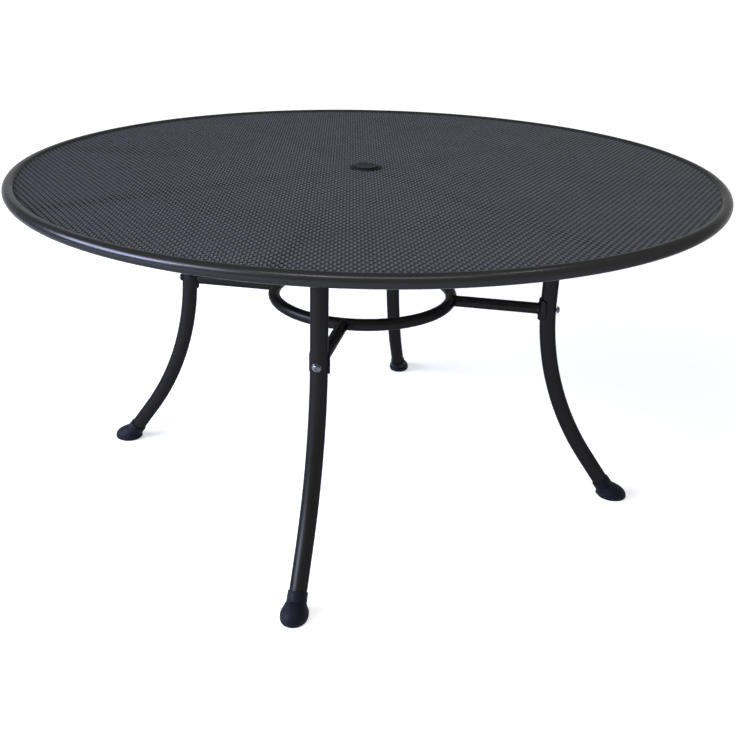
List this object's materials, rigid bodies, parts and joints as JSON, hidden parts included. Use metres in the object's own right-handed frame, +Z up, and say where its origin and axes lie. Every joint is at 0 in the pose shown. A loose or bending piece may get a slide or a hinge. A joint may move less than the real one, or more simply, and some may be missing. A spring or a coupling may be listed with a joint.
{
  "type": "round garden table",
  "caption": "Round steel garden table with an expanded-metal top in a tube rim, flared tube legs tied by a ring brace, rubber feet and a capped parasol hole.",
  "frame": {"origin": "on the floor under the middle of the top", "axes": "+Z up; +X, +Y, -X and -Y towards the right, back, left and front legs"},
  "size_m": [1.5, 1.5, 0.742],
  "materials": {
    "coated_steel": "satin dark grey powder coat on steel tube",
    "coated_sheet": "satin dark grey powder coat on expanded steel",
    "black_plastic": "matt moulded black",
    "black_rubber": "matt moulded black",
    "zinc_steel": "bright zinc plate"
  },
  "bodies": {
    "table": {"arm_back": "coated_steel", "arm_front": "coated_steel", "arm_left": "coated_steel", "arm_right": "coated_steel", "bar_back_left": "coated_steel", "bar_back_right": "coated_steel", "bar_front_left": "coated_steel", "bar_front_right": "coated_steel", "brace_bolt_back": "zinc_steel", "brace_bolt_front": "zinc_steel", "brace_bolt_left": "zinc_steel", "brace_bolt_right": "zinc_steel", "brace_ring": "coated_steel", "brace_washer_back": "zinc_steel", "brace_washer_front": "zinc_steel", "brace_washer_left": "zinc_steel", "brace_washer_right": "zinc_steel", "foot_back": "black_rubber", "foot_front": "black_rubber", "foot_left": "black_rubber", "foot_right": "black_rubber", "hole_ring": "black_plastic", "hub_collar": "coated_steel", "leg_back": "coated_steel", "leg_bolt_back": "zinc_steel", "leg_bolt_front": "zinc_steel", "leg_bolt_left": "zinc_steel", "leg_bolt_right": "zinc_steel", "leg_front": "coated_steel", "leg_left": "coated_steel", "leg_right": "coated_steel", "leg_socket_back": "coated_steel", "leg_socket_front": "coated_steel", "leg_socket_left": "coated_steel", "leg_socket_right": "coated_steel", "mesh_top": "coated_sheet", "rim": "coated_steel", "saddle_back": "coated_steel", "saddle_front": "coated_steel", "saddle_left": "coated_steel", "saddle_right": "coated_steel", "stretcher_back": "coated_steel", "stretcher_front": "coated_steel", "stretcher_insert_back": "zinc_steel", "stretcher_insert_front": "zinc_steel", "stretcher_insert_left": "zinc_steel", "stretcher_insert_right": "zinc_steel", "stretcher_left": "coated_steel", "stretcher_right": "coated_steel", "support_arc_back_left": "coated_steel", "support_arc_back_right": "coated_steel", "support_arc_front_left": "coated_steel", "support_arc_front_right": "coated_steel", "weld_nut_back": "zinc_steel", "weld_nut_front": "zinc_steel", "weld_nut_left": "zinc_steel", "weld_nut_right": "zinc_steel"},
    "cap": {"hole_cap": "black_plastic"}
  },
  "joints": [
    {"name": "cap_lift", "type": "slide", "parent": "table", "child": "cap", "axis": [0, 0, 1], "range_m": [0, 0.06]}
  ]
}
